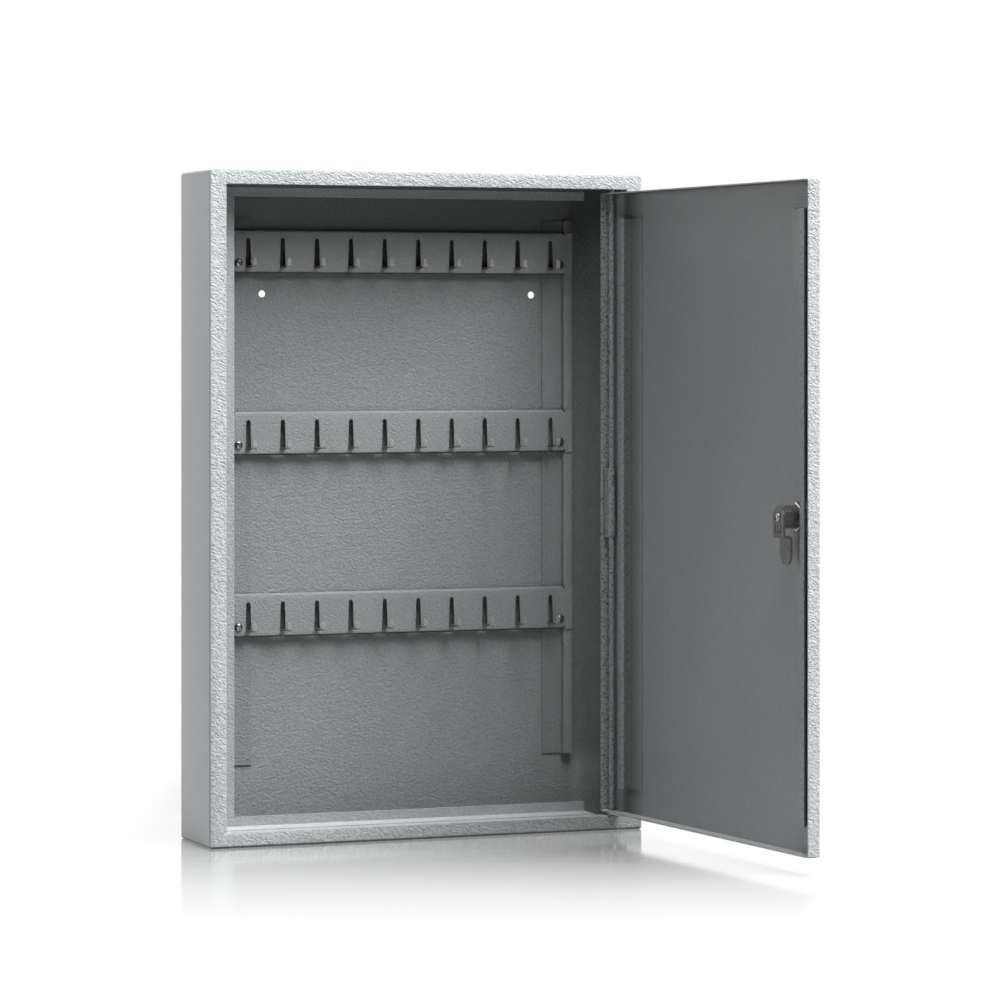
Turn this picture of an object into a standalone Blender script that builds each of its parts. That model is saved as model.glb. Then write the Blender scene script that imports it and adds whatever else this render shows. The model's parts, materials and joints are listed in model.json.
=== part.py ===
"""Wall key cabinet with three rails of lanced hooks, shown with its door open.

Metres, +Z up. The wall plane is y = 0 and the front looks towards -Y. x = 0 and z = 0 are the
middle of the cabinet's width and height. Door parts are modelled in the closed door's own axes,
with the hinge rod as origin: -x runs to the free edge and +y runs inward from the outer skin.
"""

from math import acos, atan2, copysign, cos, hypot, pi, radians, sin, tan

import bmesh
import bpy
from mathutils import Matrix, Vector

# Casing
CASE_WIDTH = 0.380
CASE_HEIGHT = 0.550
CASE_DEPTH = 0.080
CASE_SHEET = 0.0012
CASE_BEND = 0.0024          # outer radius of the outside folds
FRAME_BEND = 0.0016         # outer radius of the folds round the door opening
FRAME_SIDE = 0.0145         # width of the front frame at the left and right
FRAME_END = 0.0125          # width of the front frame at the top and bottom
RETURN_DEPTH = 0.0115       # inward fold of the front frame, from the front plane
SEAT_GAP = 0.0003           # between pieces that rest on each other
CUT_OVERRUN = 0.002         # how far a cutter runs past what it cuts

# Back panel and its wall holes
BACK_SHEET = 0.0012
BACK_RIM = 0.010
BACK_BEND = 0.002
WALL_HOLE_RADIUS = 0.003
WALL_HOLE_INSET = 0.0695     # from the casing's side
WALL_HOLE_DROP = 0.100       # from the top of the casing

# Stops behind the front frame
STOP_SHEET = 0.001
STOP_BEND = 0.0013
STOP_CLEARANCE = 0.0027     # from the thrown cam to the front of the stops
STOP_SHELF = 0.023          # from the front of a stop to its lip
STOP_FOOT = 0.013
STOP_LIP_END = 0.008        # lip of the top and bottom stops
STOP_LIP_SIDE = 0.0186      # lip of the left stop
STOP_END_MARGIN = 0.0366    # bare stretch next to the hinge side

# Upright brackets on the back panel
BRACKET_SHEET = 0.001
BRACKET_BEND = 0.0015
BRACKET_BASE = 0.018
BRACKET_RISE = 0.0067
BRACKET_FACE = 0.0073
BRACKET_TAB_COVER = 0.007   # how much of the bracket's face lies behind a rail
BRACKET_DROP = 0.0365       # top of the brackets below the top of the casing
BRACKET_FOOT = 0.0585       # bottom of the brackets above the bottom of the casing
EAR_SHEET = 0.0009
EAR_HEIGHT = 0.012
EAR_REACH = 0.006           # tapped ear beyond the screw
EAR_ROOT = 0.0025           # how far an ear runs into the bracket's face

# Key rails
RAIL_SHEET = 0.001
RAIL_BEND = 0.0015
RAIL_MARGIN = 0.035         # from the casing's side to the end of a rail
RAIL_TAB = 0.0083           # flat end that lies on the bracket
RAIL_HEIGHT = 0.036
RAIL_FLANGE = 0.006
RAIL_NOTCH = 0.002
RAIL_PITCH = 0.151
RAIL_DROP = 0.047           # top rail's upper edge below the top of the casing
RAIL_NAMES = ("key_rail_top", "key_rail_middle", "key_rail_bottom")

# Lanced hooks
HOOK_PITCH = 0.030
HOOK_END_ROOM = 0.015       # least length of rail beyond the middle of its end hooks
HOOK_FOOT = 0.0042          # from the rail's lower edge to the slot
HOOK_SHEET = 0.0009
HOOK_ROOT = 0.001           # how far a hook starts below its slot
HOOK_ROOT_WIDTH = 0.0046
HOOK_TIP_WIDTH = 0.0030
HOOK_REACH = 0.0177         # from the rail's face to the front of the lip
HOOK_LIP = 0.0084           # top of the lip above the slot's lower edge
HOOK_BEND = 0.0015          # middle radius of the bends
HOOK_KERF = 0.0003          # between the hook and the slot it is cut from

# Rail screws
SCREW_RADIUS = 0.0019
SCREW_HEAD_RADIUS = 0.0035
SCREW_HEAD_HEIGHT = 0.0022
SCREW_LENGTH = 0.0052
SCREW_INSET = 0.0113        # from the rail's end
SCREW_RISE = 0.0086         # above the rail's lower edge
RECESS_WIDTH = 0.0011
RECESS_SPAN = 0.0042
RECESS_DEPTH = 0.0012
RECESS_TIP_SHARE = 0.75     # width of a recess arm's end as part of its root
DOME_SHARE = 0.35           # part of a screw head's height that its rim takes

# Door
DOOR_GAP = 0.0025           # to the frame's return all round
DOOR_SHEET = 0.0012
DOOR_BEND = 0.002
DOOR_FLANGE = 0.011
DOOR_OPEN = radians(94.6)
DOOR_BRACKET_SHEET = 0.001
DOOR_BRACKET_BEND = 0.0014
DOOR_BRACKET_BASE = 0.0200
DOOR_BRACKET_RISE = 0.007
DOOR_BRACKET_FACE_HINGE = 0.0094
DOOR_BRACKET_FACE_LOCK = 0.0082
DOOR_BRACKET_MARGIN_HINGE = 0.0272   # from the hinge edge of the door
DOOR_BRACKET_MARGIN_LOCK = 0.0106    # from the free edge of the door
DOOR_BRACKET_MARGIN_END = 0.0222     # from the top and bottom of the door

# Hinge
ROD_RADIUS = 0.00225
ROD_INSET = 0.009           # from the door's hinge edge
ROD_SET = 0.0051            # behind the door's outer skin
ROD_OVERRUN = 0.003         # past the upper return
RUNNING_GAP = 0.0003        # between the rod and what turns on it
SLEEVE_SHEET = 0.0008
SLEEVE_LENGTH = 0.058
SLEEVE_FOOT = 0.0060
SLEEVE_BEND = 0.0009
SLEEVE_WRAP = radians(300)
WASHER_RADIUS = 0.0042

# Lock
BARREL_RADIUS = 0.009
BARREL_FLAT = 0.008         # from the axis to each flat
LOCK_FACE_RADIUS = 0.011
LOCK_FACE_HEIGHT = 0.002
LOCK_FACE_ROUND = 0.0007
PLUG_RADIUS = 0.0055
PLUG_COLLAR_RADIUS = 0.0065
PLUG_COLLAR_DEPTH = 0.0016
PLUG_GAP = 0.0003
TAIL_HALF = 0.0034          # half the width of the square tail
NUT_FLATS = 0.020
NUT_THICKNESS = 0.004
NUT_CHAMFER = 0.0006
NUT_CHAMFER_ANGLE = radians(70)
NUT_CLEARANCE = 0.0007      # to the bracket beside it
CAM_SHEET = 0.002
CAM_WIDTH = 0.016
CAM_BEND = 0.0022
CAM_JOGGLE = 0.0064
CAM_CRANK = 0.0152          # from the axis to the crank
CAM_OVERLAP = 0.005         # how far the thrown cam reaches behind the frame's return
CAM_CLEARANCE = 0.0008      # between the frame's return and the thrown cam
CAM_GROOVE_WIDTH = 0.0013
CAM_GROOVE_DEPTH = 0.0008
CAM_GROOVE_PITCH = 0.0044
CAM_GROOVE_COUNT = 3
CAM_SCREW_RADIUS = 0.0014
CAM_SCREW_HEAD_RADIUS = 0.0038
CAM_SCREW_HEAD_HEIGHT = 0.0023
CAM_SCREW_LENGTH = 0.0075
KEYWAY_WIDTH = 0.0014
KEYWAY_HEIGHT = 0.0076
KEYWAY_DEPTH = 0.014
WAFER_COUNT = 5
WAFER_THICKNESS = 0.0005
WAFER_WIDTH = 0.0042
WAFER_HEIGHT = 0.0096
WAFER_PITCH = 0.0024
WAFER_START = 0.0030        # first wafer behind the front of the plug
WAFER_WINDOW_WIDTH = 0.0022
WAFER_WINDOW_HEIGHT = 0.0062

# Facets
ROUND_STEPS = 24
FACE_STEPS = 36
SCREW_STEPS = 16
SLEEVE_STEPS = 20
BEND_STEPS = 3
TIP_STEPS = 3
SMOOTH_ANGLE = radians(35)
WELD_DISTANCE = 0.00002

# Places that follow from the sizes above
HALF_WIDTH = CASE_WIDTH / 2
HALF_HEIGHT = CASE_HEIGHT / 2
OPENING_X = HALF_WIDTH - FRAME_SIDE
OPENING_Z = HALF_HEIGHT - FRAME_END
FRONT = -CASE_DEPTH
BACK_INNER = -BACK_SHEET
WALL_SEAT = CASE_SHEET + SEAT_GAP                # from the casing's outer face

PIVOT_X = OPENING_X - DOOR_GAP - ROD_INSET
PIVOT_Y = FRONT + ROD_SET
DOOR_WIDTH = 2 * (OPENING_X - DOOR_GAP)
DOOR_Z = OPENING_Z - DOOR_GAP
SKIN = -ROD_SET
SKIN_INNER = SKIN + DOOR_SHEET
SKIN_SEAT = SKIN_INNER + SEAT_GAP
FREE_EDGE = ROD_INSET - DOOR_WIDTH
PIN_HOLE = ROD_RADIUS + RUNNING_GAP

CAM_FINGER_FRONT = SKIN + RETURN_DEPTH + CAM_CLEARANCE
CAM_BASE_FRONT = CAM_FINGER_FRONT + CAM_JOGGLE
CAM_BASE_BACK = CAM_BASE_FRONT + CAM_SHEET
BARREL_END = CAM_BASE_FRONT - SEAT_GAP
LOCK_FACE_BACK = SKIN - SEAT_GAP
LOCK_FACE_FRONT = LOCK_FACE_BACK - LOCK_FACE_HEIGHT
COLLAR_SEAT = LOCK_FACE_FRONT + PLUG_COLLAR_DEPTH
PLUG_END = BARREL_END
NUT_CORNER = NUT_FLATS / 2 / cos(pi / 6)
LOCK_WEB = FREE_EDGE + DOOR_BRACKET_MARGIN_LOCK + DOOR_BRACKET_FACE_LOCK
LOCK_X = LOCK_WEB + NUT_CLEARANCE + NUT_FLATS / 2
CAM_TIP = FREE_EDGE - DOOR_GAP - CAM_OVERLAP - LOCK_X

STOP_FRONT = FRONT + RETURN_DEPTH + CAM_CLEARANCE + CAM_SHEET + STOP_CLEARANCE
STOP_LIP_Y = STOP_FRONT + STOP_SHELF
STOP_RIGHT = HALF_WIDTH - STOP_END_MARGIN
STOP_SIDE_Z = OPENING_Z - STOP_LIP_END - SEAT_GAP

RAIL_TOP = HALF_HEIGHT - RAIL_DROP
RAIL_LENGTH = CASE_WIDTH - 2 * RAIL_MARGIN
HOOK_COUNT = 1 + int((RAIL_LENGTH - 2 * HOOK_END_ROOM) / HOOK_PITCH)
SCREW_X = RAIL_LENGTH / 2 - SCREW_INSET
BRACKET_WEB_X = RAIL_LENGTH / 2 - BRACKET_TAB_COVER
BRACKET_TOP = HALF_HEIGHT - BRACKET_DROP
BRACKET_FACE_Y = BACK_INNER - BRACKET_RISE - SEAT_GAP
RAIL_BACK_Y = BRACKET_FACE_Y - SEAT_GAP
RAIL_FACE_Y = RAIL_BACK_Y - RAIL_SHEET
RAIL_MID_Y = RAIL_FACE_Y + RAIL_SHEET / 2
RAIL_CORNER = RAIL_BEND + RAIL_SHEET / 2

PAINT = ((0.50, 0.52, 0.52), 0.45, 0.0)
INNER_PAINT = ((0.44, 0.46, 0.46), 0.5, 0.0)
ZINC = ((0.62, 0.62, 0.60), 0.35, 0.9)
STEEL = ((0.70, 0.70, 0.70), 0.25, 1.0)
DARK_ZINC = ((0.36, 0.36, 0.35), 0.45, 0.8)
BRASS = ((0.70, 0.55, 0.28), 0.35, 0.9)


def clear_scene():
    """Removes whatever objects and collections the file holds."""
    for old in list(bpy.data.objects):
        bpy.data.objects.remove(old, do_unlink=True)
    for old in list(bpy.data.collections):
        bpy.data.collections.remove(old)


def new_collection(name):
    """Adds a collection to the scene."""
    group = bpy.data.collections.new(name)
    bpy.context.scene.collection.children.link(group)
    return group


def new_empty(name, parent, location, rotation):
    """Adds a pivot that a moving group hangs on."""
    empty = bpy.data.objects.new(name, None)
    PARTS.objects.link(empty)
    empty.parent = parent
    empty.location = location
    empty.rotation_euler = rotation
    return empty


def finish_material(name, finish):
    """A Principled material from a colour, a roughness and a metallic value."""
    colour, roughness, metallic = finish
    material = bpy.data.materials.new(name)
    material.use_nodes = True
    shader = material.node_tree.nodes["Principled BSDF"]
    shader.inputs["Base Color"].default_value = (*colour, 1.0)
    shader.inputs["Roughness"].default_value = roughness
    shader.inputs["Metallic"].default_value = metallic
    return material


def place(name, mesh, finish, parent=None, location=(0, 0, 0), rotation=(0, 0, 0)):
    """Makes the named part from a mesh, with its own material, and sets it in place."""
    part = bpy.data.objects.new(name, mesh)
    PARTS.objects.link(part)
    mesh.materials.clear()
    mesh.materials.append(finish_material(name, finish))
    part.parent = parent
    part.location = location
    part.rotation_euler = rotation
    return part


def shape_with(part, mesh, operation, thickness=0):
    """Cuts, joins or intersects a part with a mesh that is given in the part's own axes."""
    tool = bpy.data.objects.new(mesh.name, mesh)
    CUTTERS.objects.link(tool)
    tool.parent = part.parent
    tool.location = part.location
    tool.rotation_euler = part.rotation_euler
    tool.hide_render = True
    tool.display_type = "WIRE"
    if thickness:
        thicken(tool, thickness)
    step = part.modifiers.new(mesh.name, "BOOLEAN")
    step.operation = operation
    step.object = tool
    step.solver = "EXACT"


def thicken(part, thickness, side=0):
    """Gives an open surface its sheet thickness; side -1 is inward, 0 both ways."""
    step = part.modifiers.new("sheet", "SOLIDIFY")
    step.thickness = thickness
    step.offset = side
    step.use_even_offset = True
    step.use_quality_normals = True


def shaded(mesh):
    """Shades a mesh smooth except over its sharp edges."""
    mesh.shade_smooth()
    mesh.set_sharp_from_angle(angle=SMOOTH_ANGLE)
    return mesh


def to_mesh(name, shape):
    """Turns a finished shape into a shaded mesh."""
    mesh = bpy.data.meshes.new(name)
    shape.to_mesh(mesh)
    shape.free()
    return shaded(mesh)


def evaluated_mesh(name, data, modifier=None):
    """The mesh of a curve, or of a profile turned by a Screw modifier, with its seams welded."""
    guide = bpy.data.objects.new(name, data)
    CUTTERS.objects.link(guide)
    if modifier:
        step = guide.modifiers.new("turn", "SCREW")
        step.steps = modifier
        step.render_steps = modifier
        step.use_merge_vertices = True
        step.merge_threshold = WELD_DISTANCE
    bpy.context.view_layer.update()
    evaluated = guide.evaluated_get(bpy.context.evaluated_depsgraph_get())
    mesh = bpy.data.meshes.new_from_object(evaluated)
    bpy.data.objects.remove(guide)
    shape = bmesh.new()
    shape.from_mesh(mesh)
    bpy.data.meshes.remove(mesh)
    bmesh.ops.remove_doubles(shape, verts=shape.verts, dist=WELD_DISTANCE)
    bmesh.ops.recalc_face_normals(shape, faces=shape.faces)
    return to_mesh(name, shape)


def arc(centre, radius, start, turn, steps):
    """Points on an arc, both ends included."""
    angles = [start + turn * i / steps for i in range(steps + 1)]
    return [Vector((centre[0] + radius * cos(a), centre[1] + radius * sin(a))) for a in angles]


def rounded(points, radius, steps=BEND_STEPS):
    """An open line whose inner corners are replaced by arcs."""
    points = [Vector(p) for p in points]
    path = [points[0]]
    for before, corner, after in zip(points, points[1:], points[2:]):
        back = (before - corner).normalized()
        ahead = (after - corner).normalized()
        half = back.angle(ahead) / 2
        centre = corner + (back + ahead).normalized() * radius / sin(half)
        first = corner + back * radius / tan(half) - centre
        last = corner + ahead * radius / tan(half) - centre
        start = atan2(first.y, first.x)
        turn = (atan2(last.y, last.x) - start + pi) % (2 * pi) - pi
        path += arc(centre, radius, start, turn, steps)
    path.append(points[-1])
    return path


def pull(shape, edges, move):
    """Extrudes edges by a move and gives the edges at the far side."""
    grown = bmesh.ops.extrude_edge_only(shape, edges=edges)["geom"]
    verts = [item for item in grown if isinstance(item, bmesh.types.BMVert)]
    bmesh.ops.translate(shape, vec=move, verts=verts)
    return [item for item in grown if isinstance(item, bmesh.types.BMEdge)
            and item.verts[0] in verts and item.verts[1] in verts]


def line_edges(shape, points):
    """Draws an open line through points and gives its edges."""
    verts = [shape.verts.new(point) for point in points]
    return [shape.edges.new(pair) for pair in zip(verts, verts[1:])]


def strip_mesh(name, path, low, high, along):
    """A folded strip as an open surface: a section extruded along X or Z.

    Along X the section holds y and z, along Z it holds x and y.
    """
    shape = bmesh.new()
    if along == "X":
        pull(shape, line_edges(shape, [(low, p, q) for p, q in path]), (high - low, 0, 0))
    else:
        pull(shape, line_edges(shape, [(p, q, low) for p, q in path]), (0, 0, high - low))
    bmesh.ops.recalc_face_normals(shape, faces=shape.faces)
    return to_mesh(name, shape)


def spans_matrix(spans):
    """The matrix that fits a unit cube to its x, y and z ranges."""
    middle = Vector([(low + high) / 2 for low, high in spans])
    size = [high - low for low, high in spans]
    return Matrix.Translation(middle) @ Matrix.Diagonal((*size, 1))


def open_box(spans, open_y):
    """A box without its face at the given y; the free edges there are its rim."""
    shape = bmesh.new()
    bmesh.ops.create_cube(shape, size=1, matrix=spans_matrix(spans))
    lid = [f for f in shape.faces if abs(f.calc_center_median().y - open_y) < WELD_DISTANCE]
    bmesh.ops.delete(shape, geom=lid, context="FACES_ONLY")
    return shape


def fold(shape, edges, radius):
    """Rounds edges into the outer radius of a sheet metal fold."""
    bmesh.ops.bevel(shape, geom=edges, offset=radius, offset_type="OFFSET",
                    segments=BEND_STEPS, profile=0.5, affect="EDGES")


def tray_mesh(name, spans, open_y, radius):
    """A folded tray as an open surface."""
    shape = open_box(spans, open_y)
    fold(shape, [e for e in shape.edges if not e.is_boundary], radius)
    return to_mesh(name, shape)


def box_mesh(name, boxes):
    """Closed boxes, each given by its x, y and z ranges."""
    shape = bmesh.new()
    for spans in boxes:
        bmesh.ops.create_cube(shape, size=1, matrix=spans_matrix(spans))
    return to_mesh(name, shape)


def rod_mesh(name, centres, radius, low, high, axis="Z"):
    """Closed cylinders along Z, with centres as x and y, or along Y, with x and z."""
    shape = bmesh.new()
    middle = (low + high) / 2
    for p, q in centres:
        spot = Matrix.Translation((p, q, middle))
        if axis == "Y":
            spot = Matrix.Translation((p, middle, q)) @ Matrix.Rotation(pi / 2, 4, "X")
        bmesh.ops.create_cone(shape, cap_ends=True, segments=ROUND_STEPS, radius1=radius,
                              radius2=radius, depth=high - low, matrix=spot)
    return to_mesh(name, shape)


def turned_mesh(name, profile, steps=ROUND_STEPS):
    """A profile of radius and height turned about Z; it runs down the outside."""
    points = [(radius, 0, height) for radius, height in profile]
    edges = [(i, i + 1) for i in range(len(points) - 1)]
    if profile[0][0] > 0:
        edges.append((len(points) - 1, 0))
    outline = bpy.data.meshes.new(name)
    outline.from_pydata(points, edges, [])
    return evaluated_mesh(name, outline, steps)


def prism_mesh(name, outlines, low, high, normal="Z"):
    """Flat outlines extruded along their normal, Z or Y, from low to high.

    With normal Z an outline holds x and y, with normal Y it holds x and z.
    """
    curve = bpy.data.curves.new(name, "CURVE")
    curve.dimensions = "2D"
    curve.fill_mode = "BOTH"
    curve.extrude = (high - low) / 2
    for outline in outlines:
        line = curve.splines.new("POLY")
        line.points.add(len(outline) - 1)
        for spot, (p, q) in zip(line.points, outline):
            spot.co = (p, q, 0, 1)
        line.use_cyclic_u = True
    mesh = evaluated_mesh(name, curve)
    middle = (low + high) / 2
    if normal == "Y":
        mesh.transform(Matrix.Translation((0, middle, 0)) @ Matrix.Rotation(pi / 2, 4, "X"))
    else:
        mesh.transform(Matrix.Translation((0, 0, middle)))
    return mesh


def screw_profile(radius, head_radius, head_height, length):
    """A pan head screw; height 0 is the underside of the head and the tip is up."""
    rim = head_height * DOME_SHARE
    dome = head_height - rim
    turns = [pi / 2 * i / TIP_STEPS for i in range(TIP_STEPS)]
    head = [(head_radius * cos(t), -rim - dome * sin(t)) for t in turns]
    lead = radius * DOME_SHARE
    shank = [(0, length), (radius - lead, length), (radius, length - lead), (radius, 0)]
    return shank + [(head_radius, 0)] + head + [(0, -head_height)]


def cross_mesh(name, head_height):
    """The cutter for a cross recess in a screw's head."""
    arm = RECESS_SPAN / 2
    half = RECESS_WIDTH / 2
    tip = half * RECESS_TIP_SHARE
    outline = []
    for i in range(4):
        turn = Matrix.Rotation(pi / 2 * i, 2)
        outline += [turn @ Vector(p) for p in ((arm, -tip), (arm, tip), (half, half))]
    return prism_mesh(name, [outline], -head_height - CUT_OVERRUN, RECESS_DEPTH - head_height)


def build_case():
    """The outer wrap with its front frame, and the back panel."""
    spans = ((-HALF_WIDTH, HALF_WIDTH), (FRONT, 0), (-HALF_HEIGHT, HALF_HEIGHT))
    shape = open_box(spans, 0)
    outer_folds = [e for e in shape.edges if not e.is_boundary]
    front = [f for f in shape.faces if abs(f.calc_center_median().y - FRONT) < WELD_DISTANCE]
    bmesh.ops.inset_region(shape, faces=front, thickness=FRAME_END, use_even_offset=True)
    for corner in front[0].verts:
        corner.co.x -= copysign(FRAME_SIDE - FRAME_END, corner.co.x)
    opening_folds = front[0].edges[:]
    bmesh.ops.delete(shape, geom=front, context="FACES_ONLY")
    pull(shape, opening_folds, (0, RETURN_DEPTH, 0))
    fold(shape, outer_folds, CASE_BEND)
    fold(shape, opening_folds, FRAME_BEND)
    wrap = place("body_wrap", to_mesh("body_wrap", shape), PAINT)
    thicken(wrap, CASE_SHEET, -1)
    reach = OPENING_Z + CASE_SHEET + CUT_OVERRUN
    hole = rod_mesh("rod_holes", [(PIVOT_X, PIVOT_Y)], PIN_HOLE, -reach, reach)
    shape_with(wrap, hole, "DIFFERENCE")

    wide = HALF_WIDTH - WALL_SEAT
    tall = HALF_HEIGHT - WALL_SEAT
    spans = ((-wide, wide), (-BACK_RIM, 0), (-tall, tall))
    panel = place("back_panel", tray_mesh("back_panel", spans, -BACK_RIM, BACK_BEND), INNER_PAINT)
    thicken(panel, BACK_SHEET, -1)
    hole_z = HALF_HEIGHT - WALL_HOLE_DROP
    centres = [(side * (HALF_WIDTH - WALL_HOLE_INSET), hole_z) for side in (-1, 1)]
    reach = BACK_SHEET + CUT_OVERRUN
    holes = rod_mesh("wall_holes", centres, WALL_HOLE_RADIUS, -reach, reach, "Y")
    shape_with(panel, holes, "DIFFERENCE")


def stop_section(frame_width, lip):
    """A stop's section as y and distance from the casing's outer face."""
    half = STOP_SHEET / 2
    foot = WALL_SEAT + half
    leg = STOP_FRONT + half
    shelf = frame_width - half
    lip_y = STOP_LIP_Y + half
    corners = [(STOP_FRONT + STOP_FOOT, foot), (leg, foot), (leg, shelf), (lip_y, shelf),
               (lip_y, frame_width + lip)]
    return rounded(corners, STOP_BEND)


def build_stops():
    """The folded stops behind the front frame at the top, the bottom and the left."""
    section = stop_section(FRAME_END, STOP_LIP_END)
    left = CASE_BEND - HALF_WIDTH
    for name, side in (("door_stop_top", 1), ("door_stop_bottom", -1)):
        path = [(y, side * (HALF_HEIGHT - rise)) for y, rise in section]
        thicken(place(name, strip_mesh(name, path, left, STOP_RIGHT, "X"), PAINT), STOP_SHEET)
    path = [(rise - HALF_WIDTH, y) for y, rise in stop_section(FRAME_SIDE, STOP_LIP_SIDE)]
    mesh = strip_mesh("door_stop_left", path, -STOP_SIDE_Z, STOP_SIDE_Z, "Z")
    thicken(place("door_stop_left", mesh, PAINT), STOP_SHEET)


def rail_base(index):
    """The height of a rail's lower edge."""
    return RAIL_TOP - index * RAIL_PITCH - RAIL_HEIGHT


def build_brackets():
    """The two upright Z brackets that carry the rails, with a tapped ear behind each screw."""
    half = BRACKET_SHEET / 2
    base_y = BACK_INNER - SEAT_GAP - half
    face_y = BRACKET_FACE_Y + half
    web = BRACKET_WEB_X + half
    corners = [(BRACKET_WEB_X - BRACKET_BASE, base_y), (web, base_y), (web, face_y),
               (BRACKET_WEB_X + BRACKET_FACE, face_y)]
    path = rounded(corners, BRACKET_BEND)
    low = BRACKET_FOOT - HALF_HEIGHT
    heights = [rail_base(i) + SCREW_RISE for i in range(len(RAIL_NAMES))]
    for name, side in (("rail_bracket_left", -1), ("rail_bracket_right", 1)):
        section = [(side * x, y) for x, y in path]
        bracket = place(name, strip_mesh(name, section, low, BRACKET_TOP, "Z"), ZINC)
        thicken(bracket, BRACKET_SHEET)
        ends = (side * (SCREW_X - EAR_REACH), side * (BRACKET_WEB_X + EAR_ROOT))
        depth = (face_y - EAR_SHEET / 2, face_y + EAR_SHEET / 2)
        ears = [((min(ends), max(ends)), depth, (z - EAR_HEIGHT / 2, z + EAR_HEIGHT / 2))
                for z in heights]
        shape_with(bracket, box_mesh(name + "_ears", ears), "UNION")
        centres = [(side * SCREW_X, z) for z in heights]
        taps = rod_mesh(name + "_taps", centres, SCREW_RADIUS + SEAT_GAP,
                        BRACKET_FACE_Y - CUT_OVERRUN, BRACKET_FACE_Y + CUT_OVERRUN, "Y")
        shape_with(bracket, taps, "DIFFERENCE")


def hook_section():
    """A hook's middle line as y, rise above the slot's lower edge and half width."""
    lip_y = RAIL_FACE_Y - HOOK_REACH + HOOK_SHEET / 2
    tip = HOOK_TIP_WIDTH / 2
    corners = [(RAIL_MID_Y, -HOOK_ROOT), (RAIL_MID_Y, HOOK_BEND), (lip_y, HOOK_BEND),
               (lip_y, HOOK_LIP - tip)]
    path = rounded(corners, HOOK_BEND)
    runs = [0]
    for before, after in zip(path, path[1:]):
        runs.append(runs[-1] + hypot(*(after - before)))
    taper = HOOK_ROOT_WIDTH - HOOK_TIP_WIDTH
    rows = [(y, rise, (HOOK_ROOT_WIDTH - taper * run / runs[-1]) / 2)
            for (y, rise), run in zip(path, runs)]
    for i in range(TIP_STEPS):
        turn = pi / 2 * (i + 1) / (TIP_STEPS + 1)
        rows.append((lip_y, HOOK_LIP - tip + tip * sin(turn), tip * cos(turn)))
    return rows, runs[-1] + tip - HOOK_ROOT


def hook_places():
    """The middle of each hook across a rail."""
    return [(i - (HOOK_COUNT - 1) / 2) * HOOK_PITCH for i in range(HOOK_COUNT)]


def hooks_mesh(name, base):
    """The bent tongues of one rail: tapered lines pulled out to their widths."""
    rows = hook_section()[0]
    widths = {}
    shape = bmesh.new()
    for x in hook_places():
        points = [(x - half, y, base + HOOK_FOOT + rise) for y, rise, half in rows]
        pull(shape, line_edges(shape, points), (0, 0, 0))
        for vert, (y, rise, half) in zip(shape.verts[-len(rows):], rows):
            widths[vert] = 2 * half
    for vert, width in widths.items():
        vert.co.x += width
    bmesh.ops.recalc_face_normals(shape, faces=shape.faces)
    return to_mesh(name, shape)


def slot_outlines(base):
    """The tapered slots that the hooks of one rail are cut from, as x and z."""
    reach = hook_section()[1] + HOOK_KERF
    low = HOOK_ROOT_WIDTH / 2 + HOOK_KERF
    high = HOOK_TIP_WIDTH / 2 + HOOK_KERF
    foot = base + HOOK_FOOT
    top = arc((0, foot + reach - high), high, 0, pi, 2 * BEND_STEPS)
    outline = [Vector((-low, foot)), Vector((low, foot))] + top
    return [[(x + p.x, p.y) for p in outline] for x in hook_places()]


def rail_mesh(name, base):
    """One rail as an open surface: a channel whose face runs on as flat tabs at both ends."""
    half = RAIL_SHEET / 2
    flange_y = RAIL_FACE_Y + RAIL_FLANGE
    middle = base + RAIL_HEIGHT / 2
    reach = RAIL_HEIGHT / 2
    bend = rounded([(flange_y, reach - half), (RAIL_MID_Y, reach - half), (RAIL_MID_Y, 0)],
                   RAIL_BEND)[:-1]
    section = [(y, middle + rise) for y, rise in bend]
    section += [(y, middle - rise) for y, rise in reversed(bend)]
    channel = RAIL_LENGTH / 2 - RAIL_TAB
    shape = bmesh.new()
    near = line_edges(shape, [(-channel, y, z) for y, z in section])
    far = pull(shape, near, (2 * channel, 0, 0))
    for side, ends in ((-1, near), (1, far)):
        face = max(ends, key=lambda e: e.calc_length() if e.verts[0].co.y == e.verts[1].co.y else 0)
        neck = pull(shape, [face], (side * RAIL_NOTCH, 0, 0))
        tab = pull(shape, neck, (side * (RAIL_TAB - RAIL_NOTCH), 0, 0))
        neck_verts = set(neck[0].verts)
        for vert in tab[0].verts:
            rim = [e for e in vert.link_edges if e.other_vert(vert) in neck_verts]
            pull(shape, rim, (0, 0, copysign(RAIL_CORNER, vert.co.z - middle)))
    bmesh.ops.recalc_face_normals(shape, faces=shape.faces)
    return to_mesh(name, shape)


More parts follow.
